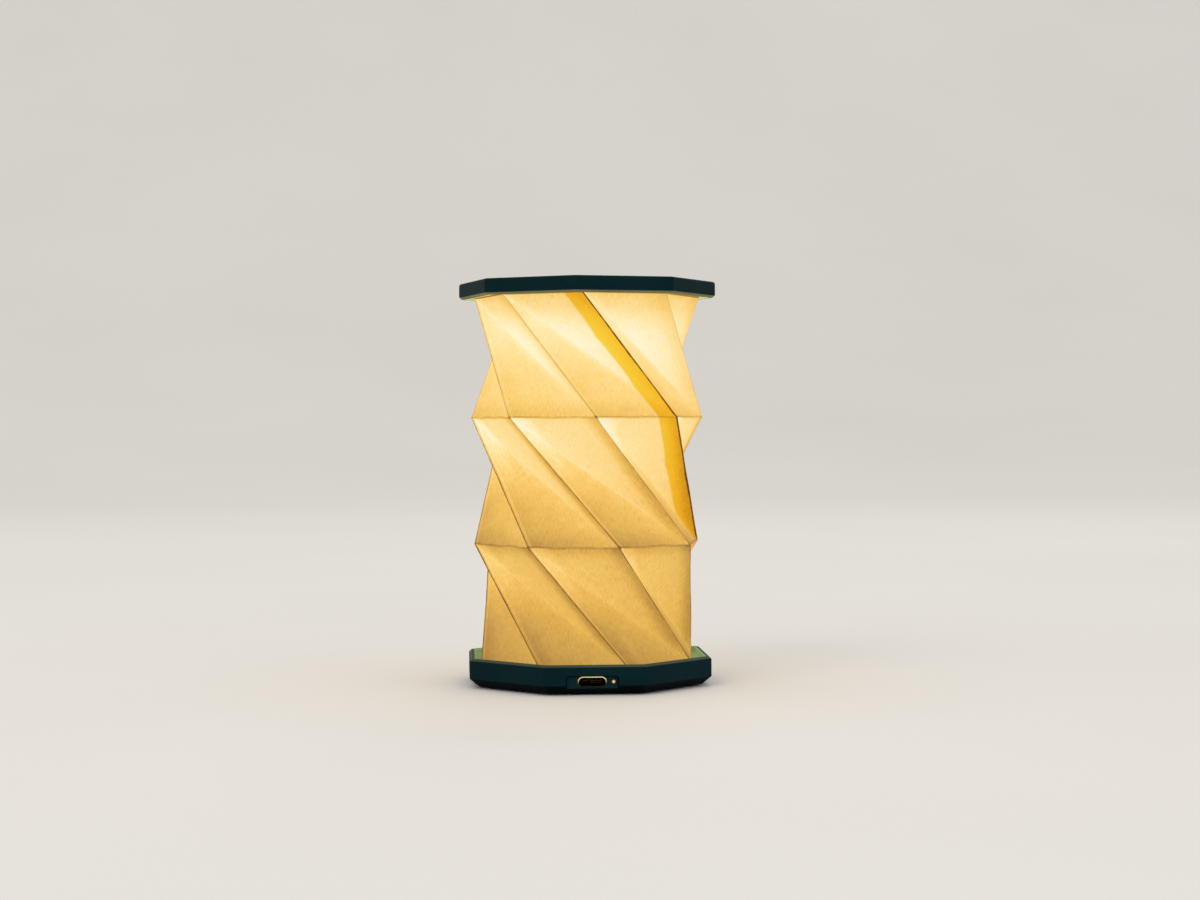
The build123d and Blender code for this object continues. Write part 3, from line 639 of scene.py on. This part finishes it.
def fold_lines(tree, sheet, along, up):
    """The thin brown lines along the folds, from 0 to 1: partly the creases themselves, partly painted
    shade in the folds, and a painted shadow under the lid's lip.
    """
    # folds made by hand wander a little
    wander = maths(tree, "SUBTRACT", noise(tree, sheet, 110, 1), 0.5)
    along = maths(tree, "MULTIPLY_ADD", wander, 0.018, along)
    up = maths(tree, "MULTIPLY_ADD", wander, 0.028, up)
    line_unevenness = between(tree, noise(tree, sheet, 500, 3), 0.3, 0.7, 0.7, 1.0)

    # the line lies a little to the right of its ridge
    right_step = 0.003
    from_ridge = maths(tree, "SUBTRACT", along, maths(tree, "ROUND", along))
    ridge = maths(tree, "ABSOLUTE", maths(tree, "SUBTRACT", from_ridge, right_step))
    level = maths(tree, "ABSOLUTE", maths(tree, "SUBTRACT", up, maths(tree, "ROUND", up)))
    # the further from the light, the darker a line looks
    depth = maths(tree, "ADD", at_fold(tree, up, 1, 0.72, 0.55), at_fold(tree, up, 2, 0.0, -0.20))
    # the first ridge has the overlap's edge for its line
    other_ridges = maths(tree, "GREATER_THAN", along, 0.5)
    ridge_line = product(tree, fading(tree, ridge, 0.004, 0.014), line_unevenness, depth, other_ridges)
    level_line = product(tree, fading(tree, level, 0.004, 0.012), line_unevenness, 0.28)
    overlap_edge = product(tree, between(tree, along, SIDES - 0.028, SIDES - 0.014), line_unevenness, 0.85)
    # the lines, partly crease and partly painted shade, are darkest where the folds meet
    corner = product(tree, fading(tree, ridge, 0.006, 0.030), fading(tree, level, 0.004, 0.018), 0.62)
    height = height_of(tree, place_of(tree))
    lip_shadow = band(tree, height, LID_LIP, LID_LIP + 0.0001, LID_LIP + 0.0004, LID_LIP + 0.0006)
    under_lip = product(tree, lip_shadow, 0.55)
    lines = ridge_line
    for line in (level_line, overlap_edge, corner, under_lip):
        lines = maths(tree, "MAXIMUM", lines, line)
    return lines


def paper_finish(sizes, colours):
    """Fibrous paper lit from inside. The glow attribute says how much light reaches each spot, the
    folds map counts panels and tiers, and the sheet map is the flat sheet in metres."""
    finish, tree, shader = new_finish(
        "lit_paper", Roughness=0.85, Specular_IOR_Level=0.2, Emission_Strength=1.0
    )
    glow = add_node(tree, "ShaderNodeAttribute", attribute_name="glow").outputs["Fac"]
    sheet = add_node(tree, "ShaderNodeUVMap", uv_map="sheet").outputs["UV"]
    folds = add_node(tree, "ShaderNodeUVMap", uv_map="folds").outputs["UV"]
    along, up = split(tree, folds, "XY")

    # fibres along and across the sheet, and the cloudiness of paper held to the light
    fibres = stretched_noise(tree, sheet, (4400, 460, 1000), 3)
    cross_fibres = stretched_noise(tree, sheet, (700, 2600, 1000), 2)
    clouds = noise(tree, sheet, 240, 4, 0.6)
    texture = 0.0
    for grain, strength in ((fibres, 0.50), (cross_fibres, 0.14), (clouds, 0.08)):
        texture = maths(tree, "MULTIPLY_ADD", maths(tree, "SUBTRACT", grain, 0.5), strength, texture)
    # bright paper washes its own fibres out
    clearness = between(tree, glow, 0.58, 0.80, 1.35, 0.70)
    texture = maths(tree, "MULTIPLY_ADD", texture, clearness, 1.0)
    lines = fold_lines(tree, sheet, along, up)
    clear_of_crease_and_shade = maths(tree, "SUBTRACT", 1.0, lines)
    lit = product(tree, glow, texture, lit_folds(tree, along, up), clear_of_crease_and_shade)
    # from brown in the dark folds to pale cream beside the plate
    one_layer = ramp(
        tree,
        lit,
        (0.10, (0.06, 0.01, 0.0)),
        (0.25, (0.20, 0.075, 0.004)),
        (0.366, (0.385, 0.210, 0.030)),
        (0.485, (0.570, 0.330, 0.050)),
        (0.533, (0.630, 0.378, 0.070)),
        (0.638, (0.735, 0.483, 0.125)),
        (0.753, (0.78, 0.598, 0.250)),
        (0.831, (0.78, 0.676, 0.360)),
        (0.95, (0.79, 0.780, 0.600)),
    )
    # the glued overlap lies on the left of the first corner's ridge
    side = 2 * sizes.fold_radius * math.sin(math.pi / SIDES)
    overlap_start = SIDES - sizes.seam_width / side
    blur = 0.020
    overlap = between(tree, along, overlap_start - blur, overlap_start + blur)
    seam = tuple(colours.seam)
    two_layers = mixed(tree, 1.0, one_layer, seam, "MULTIPLY")
    feed(shader, "Emission Color", mixed(tree, overlap, one_layer, two_layers))

    plain = tuple(colours.paper)
    cloudy = tuple(part * 0.9 for part in plain)
    # painted shade: the dark lines are partly creases and partly painted shade, with the painted shadow
    # under the lid's lip
    crease_and_shade_colour = tuple(part * 0.2 for part in plain)
    paper = mixed(tree, lines, mixed(tree, between(tree, clouds, 0.3, 0.7), cloudy, plain), crease_and_shade_colour)
    double = mixed(tree, 1.0, paper, seam, "MULTIPLY")
    feed(shader, "Base Color", mixed(tree, overlap, paper, double))
    bump(shader, fibres, depth=0.00004, strength=0.5)
    return finish


def overlap_finish():
    """The golden second layer of paper, seen from inside."""
    finish, tree, shader = new_finish(
        "overlap_paper", Roughness=0.85, Specular_IOR_Level=0.25, Emission_Strength=1.0
    )
    fibres = stretched_noise(tree, place_of(tree), (2600, 2600, 500), 3)
    shade(shader, fibres, (0.26, 0.13, 0.01), 0.1)
    shade(shader, fibres, (0.5, 0.28, 0.02), 0.1, "Emission Color")
    return finish


# ---------------------------------------------------------------- the folded paper


def next_ring(lift=0.0, turn=0.0, share=1.0):
    """Extrudes the selected ring of edges up, and turns and scales it round the axis."""
    bpy.ops.mesh.extrude_edges_move(TRANSFORM_OT_translate={"value": (0, 0, lift)})
    bpy.ops.transform.resize(value=(share, share, 1), center_override=AXIS)
    bpy.ops.transform.rotate(value=turn, orient_axis="Z", center_override=AXIS)


def fold_tube(sizes):
    """The paper's panels: a ring of eight edges, raised and turned tier by tier."""
    deselect_all()
    foot = (0, 0, sizes.foot_height)
    bpy.ops.mesh.primitive_circle_add(vertices=SIDES, radius=sizes.foot_radius, location=foot)
    tube = bpy.context.object
    tube.name = tube.data.name = "folded_paper"
    bpy.ops.object.transform_apply(location=True)
    bpy.ops.object.mode_set(mode="EDIT")
    bpy.ops.mesh.select_all(action="SELECT")
    # a new circle has its first corner on +Y
    first_corner = math.radians(90)
    bpy.ops.transform.rotate(value=first_corner - sizes.foot_angle, orient_axis="Z", center_override=AXIS)
    widening = sizes.fold_radius / sizes.foot_radius
    narrowing = sizes.head_radius / sizes.fold_radius
    next_ring(sizes.lower_fold_height - sizes.foot_height, sizes.lower_twist, widening)
    next_ring(sizes.upper_fold_height - sizes.lower_fold_height, sizes.middle_twist)
    next_ring(sizes.head_height - sizes.upper_fold_height, sizes.upper_twist, narrowing)
    bpy.ops.mesh.select_all(action="SELECT")
    bpy.ops.mesh.quads_convert_to_tris(quad_method="LONGEST_DIAGONAL")
    bpy.ops.mesh.normals_make_consistent(inside=False)
    bpy.ops.object.mode_set(mode="OBJECT")
    # the tube is open, so the recalculated side is looked at and turned out if need be
    if sum(face.normal.dot(Vector((*face.center.xy, 0))) for face in tube.data.polygons) < 0:
        tube.data.flip_normals()
    return tube


def map_sheet(tube):
    """Two UV maps: folds counts panels and tiers, and sheet is the flat sheet in metres."""
    mesh = tube.data

    def gap(first, second):
        return (mesh.vertices[first].co - mesh.vertices[second].co).length

    offsets = [Vector((0.0, 0.0))]
    for foot in range(0, len(mesh.vertices) - SIDES, SIDES):
        head = foot + SIDES
        side, ridge = gap(foot, foot + 1), gap(foot, head)
        # the valley comes from the neighbour that the twist carries the head away from
        valley = max(gap(foot + 1, head), gap(foot + SIDES - 1, head))
        lean = (ridge**2 + side**2 - valley**2) / (2 * side)
        offsets.append(offsets[-1] + Vector((lean, math.sqrt(ridge**2 - lean**2))))
    side = gap(SIDES, SIDES + 1)
    folds = mesh.uv_layers.new(name="folds")
    sheet = mesh.uv_layers.new(name="sheet")
    for face in mesh.polygons:
        corners = [index % SIDES for index in face.vertices]
        wraps = max(corners) - min(corners) > SIDES / 2
        for loop, index in zip(face.loop_indices, face.vertices):
            corner, row = index % SIDES, index // SIDES
            if wraps and corner < SIDES / 2:
                corner += SIDES
            folds.data[loop].uv = (corner, row)
            sheet.data[loop].uv = (corner * side + offsets[row].x, offsets[row].y)


def crease_folds(tube, sizes):
    """Full creases on the ridges and level folds, softer ones on the slanting valleys."""
    mesh = tube.data
    creases = mesh.attributes.new("crease_edge", "FLOAT", "EDGE")
    for edge in mesh.edges:
        first, second = sorted(edge.vertices)
        is_valley = first // SIDES != second // SIDES and first % SIDES != second % SIDES
        creases.data[edge.index].value = sizes.valley_sharpness[first // SIDES] if is_valley else 1.0


def keep_full_creases(tube):
    """Lets the soft valleys go before the last division, and keeps the rest."""
    rounding = 0.01
    for crease in tube.data.attributes["crease_edge"].data:
        crease.value = math.floor(crease.value + rounding)


def disc_points(radius, rings):
    """Evenly spread points on a disc."""
    points = [(0.0, 0.0)]
    for ring in range(1, rings):
        count = 6 * ring
        reach = radius * ring / (rings - 0.5)
        for step in range(count):
            angle = 2 * math.pi * step / count
            points.append((reach * math.cos(angle), reach * math.sin(angle)))
    return points


def half_sphere(count):
    """Directions spread round +Z, as thickly as matt paper takes light from them."""
    golden_turn = math.pi * (3 - math.sqrt(5))
    ways = []
    for step in range(count):
        share = (step + 0.5) / count
        reach = math.sqrt(share)
        angle = golden_turn * step
        ways.append(Vector((reach * math.cos(angle), reach * math.sin(angle), math.sqrt(1 - share))))
    return ways


def light_inside(mesh, sizes, light):
    """How brightly the inside of each face is lit: by the lid's plate, as far as the folds leave
    it in sight, and then by the rest of the paper, bounce after bounce."""
    plate_rings = 6
    directions = 64
    bounces = 12
    clear = 0.0002
    paper = BVHTree.FromPolygons(
        [vertex.co.copy() for vertex in mesh.vertices], [tuple(face.vertices) for face in mesh.polygons]
    )
    plate_radius = sizes.head_radius - sizes.hem
    plate = [Vector((x, y, sizes.head_height - clear)) for x, y in disc_points(plate_radius, plate_rings)]
    spot_area = math.pi * plate_radius**2 / len(plate)
    strengths = [
        light.plate + light.hot_spot * math.exp(-((point.xy.length / light.hot_spot_radius) ** 2))
        for point in plate
    ]
    ways = half_sphere(directions)
    direct = [0.0] * len(mesh.polygons)
    seen = []
    for face in mesh.polygons:
        inward = -face.normal
        spot = face.center + inward * clear
        for point, strength in zip(plate, strengths):
            ray = point - spot
            reach = ray.length
            ray /= reach
            facing = inward.dot(ray)
            if facing > 0 and ray.z > 0 and paper.ray_cast(spot, ray, reach)[2] is None:
                spread = math.pi * (reach**2 + spot_area)
                direct[face.index] += strength * facing * ray.z * spot_area / spread
        turn = inward.to_track_quat("Z", "Y")
        hits = (paper.ray_cast(spot, turn @ way)[2] for way in ways)
        seen.append([hit for hit in hits if hit is not None])
    lit = direct
    for _ in range(bounces):
        lit = [
            first + light.bounce * sum(lit[other] for other in others) / len(ways)
            for first, others in zip(direct, seen)
        ]
    return [light.even_glow + light.gain * value**light.softness for value in lit]


def store_glow(mesh, face_light):
    """Writes the light of the faces on their corners, evened out within each panel."""
    same_panel = math.cos(math.radians(25))
    round_vertex = [[] for _ in mesh.vertices]
    for face in mesh.polygons:
        for index in face.vertices:
            round_vertex[index].append(face.index)
    normals = [face.normal.copy() for face in mesh.polygons]
    glow = mesh.attributes.new("glow", "FLOAT", "CORNER")
    for face in mesh.polygons:
        for loop, index in zip(face.loop_indices, face.vertices):
            near = [
                other for other in round_vertex[index] if normals[other].dot(face.normal) > same_panel
            ]
            glow.data[loop].value = sum(face_light[other] for other in near) / len(near)


def make_waves(tube, sizes):
    """Slow waves all over the sheet, which die out towards its glued foot and head."""
    wave_length = 0.016
    loose = tube.vertex_groups.new(name="loose")
    for vertex in tube.data.vertices:
        reach = min(vertex.co.z - sizes.foot_height, sizes.head_height - vertex.co.z)
        loose.add([vertex.index], min(1.0, max(0.0, reach / sizes.hem)), "REPLACE")
    waves = bpy.data.textures.new("paper_waves", "CLOUDS")
    waves.noise_scale = wave_length
    waves.noise_depth = 1
    apply_modifier(
        tube,
        "DISPLACE",
        texture=waves,
        texture_coords="GLOBAL",
        strength=sizes.waviness,
        vertex_group=loose.name,
    )


def turn_in_hems(tube, sizes):
    """Hems at the foot and the head, turned in flat."""
    take(tube)
    bpy.ops.object.mode_set(mode="EDIT")
    for height, radius in ((sizes.foot_height, sizes.foot_radius), (sizes.head_height, sizes.head_radius)):
        pick_edges(tube, lambda edge: edge.is_boundary and abs(edge.verts[0].co.z - height) < sizes.wall)
        next_ring(share=(radius - sizes.hem) / radius)
    bpy.ops.object.mode_set(mode="OBJECT")


def flatten_with_lid(piece):
    """Lets a paper piece turn with the shade, on a mesh of its own."""
    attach(piece, "shade")
    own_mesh(piece)


class LAMP_OT_paper_shade(bpy.types.Operator):
    """Folds the paper shade, works out its glow and gives it its wall"""

    bl_idname = "lamp.paper_shade"
    bl_label = "Paper shade"

    def execute(self, context):
        sizes = context.scene.lamp_paper
        tube = fold_tube(sizes)
        map_sheet(tube)
        crease_folds(tube, sizes)
        apply_modifier(tube, "SUBSURF", levels=4, render_levels=4, uv_smooth="NONE")
        store_glow(tube.data, light_inside(tube.data, sizes, context.scene.lamp_light))
        keep_full_creases(tube)
        apply_modifier(tube, "SUBSURF", levels=1, render_levels=1, uv_smooth="NONE")
        make_waves(tube, sizes)
        turn_in_hems(tube, sizes)
        apply_modifier(tube, "SOLIDIFY", thickness=sizes.wall, offset=-1)
        take(tube)
        softest_fold = math.radians(22)
        bpy.ops.object.shade_smooth_by_angle(angle=softest_fold)
        give(tube, paper_finish(sizes, context.scene.lamp_colours))
        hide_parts("paper_shade")
        flatten_with_lid(tube)
        return {"FINISHED"}


class LAMP_OT_seam_strip(bpy.types.Operator):
    """Makes the glued overlap behind the paper"""

    bl_idname = "lamp.seam_strip"
    bl_label = "Glued overlap"

    def execute(self, context):
        sizes = context.scene.lamp_paper
        strip = bpy.data.objects.new("glued_overlap", NODES["seam_strip"].data.copy())
        context.scene.collection.objects.link(strip)
        take(strip)
        bpy.ops.object.mode_set(mode="EDIT")
        bpy.ops.mesh.select_all(action="SELECT")
        bpy.ops.mesh.remove_doubles(threshold=0.00001)
        bpy.ops.mesh.dissolve_limited(angle_limit=math.radians(1))
        bpy.ops.mesh.quads_convert_to_tris()
        bpy.ops.mesh.subdivide(number_cuts=3)
        bpy.ops.mesh.normals_make_consistent(inside=False)
        # a little further in, clear of the waves of the sheet it is glued to
        share = 1 - sizes.waviness / 2 / sizes.fold_radius
        bpy.ops.transform.resize(value=(share, share, 1), center_override=AXIS)
        bpy.ops.object.mode_set(mode="OBJECT")
        give(strip, overlap_finish())
        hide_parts("seam_strip")
        flatten_with_lid(strip)
        return {"FINISHED"}


# ---------------------------------------------------------------- finishes of the rigid pieces


class LAMP_OT_casing(bpy.types.Operator):
    """Finishes the base tray, the lid, the bottom cover and the foot pad"""

    bl_idname = "lamp.casing"
    bl_label = "Casing"

    def execute(self, context):
        colours = context.scene.lamp_colours
        plastic = tuple(colours.plastic)
        recess = tuple(part * lighter for part, lighter in zip(plastic, (1.5, 1.45, 1.6)))
        hair = 0.0001
        beyond = 0.001
        tray = lit_rim_plastic(
            "tray_plastic",
            plastic,
            tuple(colours.tray_inside),
            tuple(colours.tray_edge),
            turn=0.0,
            lit_from=PAPER_FOOT - hair,
            lit_to=TRAY_RIM + beyond,
        )
        shade_recess(tray, recess)
        give(NODES["base_tray"], tray)
        lid = lit_rim_plastic(
            "lid_plastic",
            plastic,
            tuple(colours.lid_inside),
            tuple(colours.lid_edge),
            turn=-LID_TURN,
            lit_from=LID_LIP - beyond,
            lit_to=LIT_PLATE + hair,
        )
        give(NODES["lid_shell"], lid)
        cover = moulded_plastic("cover_plastic", tuple(colours.cover), 0.6, specular=0.04)
        shade_recess(cover, recess)
        give(NODES["bottom_cover"], cover)
        give(NODES["foot_pad"], rubber("pad_rubber"))
        return {"FINISHED"}


class LAMP_OT_charging_socket(bpy.types.Operator):
    """Finishes the charging socket and its light"""

    bl_idname = "lamp.charging_socket"
    bl_label = "Charging socket"

    def execute(self, context):
        give(NODES["usb_c_shell"], socket_steel("socket_steel"))
        tongue = moulded_plastic("socket_tongue", (0.0025, 0.0022, 0.002), 0.6, specular=0.02)
        give(NODES["usb_c_tongue"], tongue)
        give(NODES["usb_c_contacts"], metal("contact_gold", (0.85, 0.58, 0.2), 0.25, (500, 500, 500)))
        give(NODES["charge_indicator"], indicator_light("indicator_amber"))
        return {"FINISHED"}


class LAMP_OT_electronics(bpy.types.Operator):
    """Finishes the control board, what is on it and the cell"""

    bl_idname = "lamp.electronics"
    bl_label = "Electronics"

    def execute(self, context):
        give(NODES["control_board"], circuit_board("board_green"))
        give(NODES["board_components"], moulded_plastic("component_resin", (0.02, 0.02, 0.022), 0.5, 4000))
        give(NODES["hall_switch"], moulded_plastic("switch_resin", (0.015, 0.015, 0.016), 0.55, 5000))
        give(NODES["battery_pouch"], pouch_foil("cell_foil"))
        give(NODES["battery_tape"], rubber("tape_foam", (0.03, 0.03, 0.032)))
        give(NODES["battery_leads"], battery_lead_sleeves("lead_sleeves"))
        give(NODES["battery_plug"], moulded_plastic("plug_nylon", (0.75, 0.73, 0.66), 0.4))
        return {"FINISHED"}


class LAMP_OT_light_source(bpy.types.Operator):
    """Finishes the lamp's light source, its lens and the lid's plate"""

    bl_idname = "lamp.light_source"
    bl_label = "Light source"

    def execute(self, context):
        give(NODES["led_board"], moulded_plastic("led_board_resist", (0.78, 0.78, 0.75), 0.35, 3000))
        give(NODES["led_chips"], glowing("led_phosphor", (0.9, 0.72, 0.2), (1.0, 0.78, 0.35), 2.5))
        give(NODES["led_pins"], metal("pin_gold", (0.85, 0.62, 0.28), 0.25))
        give(NODES["beam_lens"], clear_acrylic("lens_acrylic"))
        # painted light: the plate's glow stands in for the chips' light that it throws back
        plate = glowing("plate_white", (0.5, 0.47, 0.4), (0.62, 0.5, 0.3), 1.0, 0.8, 300)
        give(NODES["lid_reflector"], plate)
        return {"FINISHED"}


class LAMP_OT_fixings(bpy.types.Operator):
    """Finishes the screws, the magnets and the card rings"""

    bl_idname = "lamp.fixings"
    bl_label = "Fixings"

    def execute(self, context):
        for node in ("cover_screws", "board_screws"):
            give(NODES[node], metal(f"{node}_zinc", (0.62, 0.62, 0.63), 0.35, (3000, 3000, 500)))
        for node in ("base_magnets", "lid_magnets", "switch_magnet"):
            give(NODES[node], metal(f"{node}_nickel", (0.72, 0.71, 0.69), 0.2, (300, 300, 300)))
        for node in ("lower_paper_ring", "upper_paper_ring"):
            give(NODES[node], card(f"{node}_card"))
        return {"FINISHED"}


# ---------------------------------------------------------------- stage


class LAMP_OT_stage(bpy.types.Operator):
    """Sets the floor, the backdrop, the lights and the camera"""

    bl_idname = "lamp.stage"
    bl_label = "Stage"

    def execute(self, context):
        self.backdrop(context)
        self.light(context)
        self.camera(context)
        return {"FINISHED"}

    def backdrop(self, context):
        """A floor that bends up into a wall behind the lamp."""
        floor_size = 8
        wall_height = 5
        bend = 2.5
        deselect_all()
        bpy.ops.mesh.primitive_plane_add(size=floor_size, location=(0, 0, 0))
        floor = context.object
        floor.name = "floor"
        bpy.ops.object.mode_set(mode="EDIT")
        pick_edges(floor, lambda edge: all(vertex.co.y > 0 for vertex in edge.verts))
        bpy.ops.mesh.extrude_edges_move(TRANSFORM_OT_translate={"value": (0, 0, wall_height)})
        pick_edges(floor, lambda edge: all(vertex.co.y > 0 and vertex.co.z < bend for vertex in edge.verts))
        bpy.ops.mesh.bevel(offset=bend, segments=32)
        bpy.ops.object.mode_set(mode="OBJECT")
        bpy.ops.object.shade_smooth()
        finish, tree, shader = new_finish("pale_floor", Roughness=0.9, Specular_IOR_Level=0.1)
        cloud = noise(tree, place_of(tree), 3, 2)
        shade(shader, cloud, context.scene.lamp_colours.floor, 0.015)
        give(floor, finish)

    def light(self, context):
        """Even light from all round, a soft main lamp and two weaker ones."""
        aim = Vector((0, 0, 0.06))
        world = context.scene.world or bpy.data.worlds.new("studio")
        context.scene.world = world
        world.use_nodes = True
        background = world.node_tree.nodes["Background"]
        background.inputs["Color"].default_value = (1.0, 0.985, 0.96, 1.0)
        background.inputs["Strength"].default_value = context.scene.lamp_stage.sky
        for name, place, size, power in (
            ("main_light", (-0.9, -1.0, 1.3), 0.9, 4.5),
            ("side_light", (1.2, -0.8, 0.8), 1.1, 1.2),
            ("back_light", (0.3, 1.1, 1.2), 0.8, 2.0),
        ):
            lamp = bpy.data.lights.new(name, "AREA")
            lamp.shape = "DISK"
            lamp.size = size
            lamp.energy = power
            holder = bpy.data.objects.new(name, lamp)
            context.scene.collection.objects.link(holder)
            holder.location = place
            beam = aim - Vector(place)
            holder.rotation_euler = beam.to_track_quat("-Z", "Y").to_euler()

    def camera(self, context):
        """A level camera, tilted down and leant by a little."""
        sizes = context.scene.lamp_stage
        level = math.radians(90)
        forward = Vector((math.sin(sizes.heading), math.cos(sizes.heading), 0))
        right = Vector((forward.y, -forward.x, 0))
        data = bpy.data.cameras.new("camera")
        data.lens = sizes.lens
        data.sensor_width = 36
        data.clip_start = 0.01
        holder = bpy.data.objects.new("camera", data)
        context.scene.collection.objects.link(holder)
        holder.location = right * sizes.side_step - forward * sizes.distance + Vector((0, 0, sizes.height))
        upright = Euler((level - sizes.pitch, 0, -sizes.heading)).to_matrix()
        holder.rotation_euler = (upright @ Matrix.Rotation(-sizes.roll, 3, "Z")).to_euler()
        context.scene.camera = holder
        context.scene.view_settings.view_transform = "Standard"


class LAMP_PT_panel(bpy.types.Panel):
    """Lists the lamp's pieces in the order they are made, and their sizes and colours"""

    bl_label = "Paper Lamp"
    bl_idname = "LAMP_PT_panel"
    bl_space_type = "VIEW_3D"
    bl_region_type = "UI"
    bl_category = "Paper Lamp"

    def draw(self, context):
        for operator in OPERATORS:
            self.layout.operator(operator.bl_idname)
        for group in GROUPS:
            box = self.layout.box()
            settings = getattr(context.scene, group)
            for name in settings.__annotations__:
                box.prop(settings, name)


OPERATORS = (
    LAMP_OT_paper_shade,
    LAMP_OT_seam_strip,
    LAMP_OT_casing,
    LAMP_OT_charging_socket,
    LAMP_OT_electronics,
    LAMP_OT_light_source,
    LAMP_OT_fixings,
    LAMP_OT_stage,
)
GROUPS = {
    "lamp_paper": LampPaperSizes,
    "lamp_light": LampInnerLight,
    "lamp_colours": LampColours,
    "lamp_stage": LampStageSizes,
}


def register():
    for item in (*GROUPS.values(), *OPERATORS, LAMP_PT_panel):
        bpy.utils.register_class(item)
    for name, group in GROUPS.items():
        setattr(bpy.types.Scene, name, bpy.props.PointerProperty(type=group))


def unregister():
    for name in GROUPS:
        delattr(bpy.types.Scene, name)
    for item in reversed((*GROUPS.values(), *OPERATORS, LAMP_PT_panel)):
        bpy.utils.unregister_class(item)


def main():
    register()
    for operator in OPERATORS:
        group, name = operator.bl_idname.split(".")
        getattr(getattr(bpy.ops, group), name)()


if __name__ == "__main__":
    main()
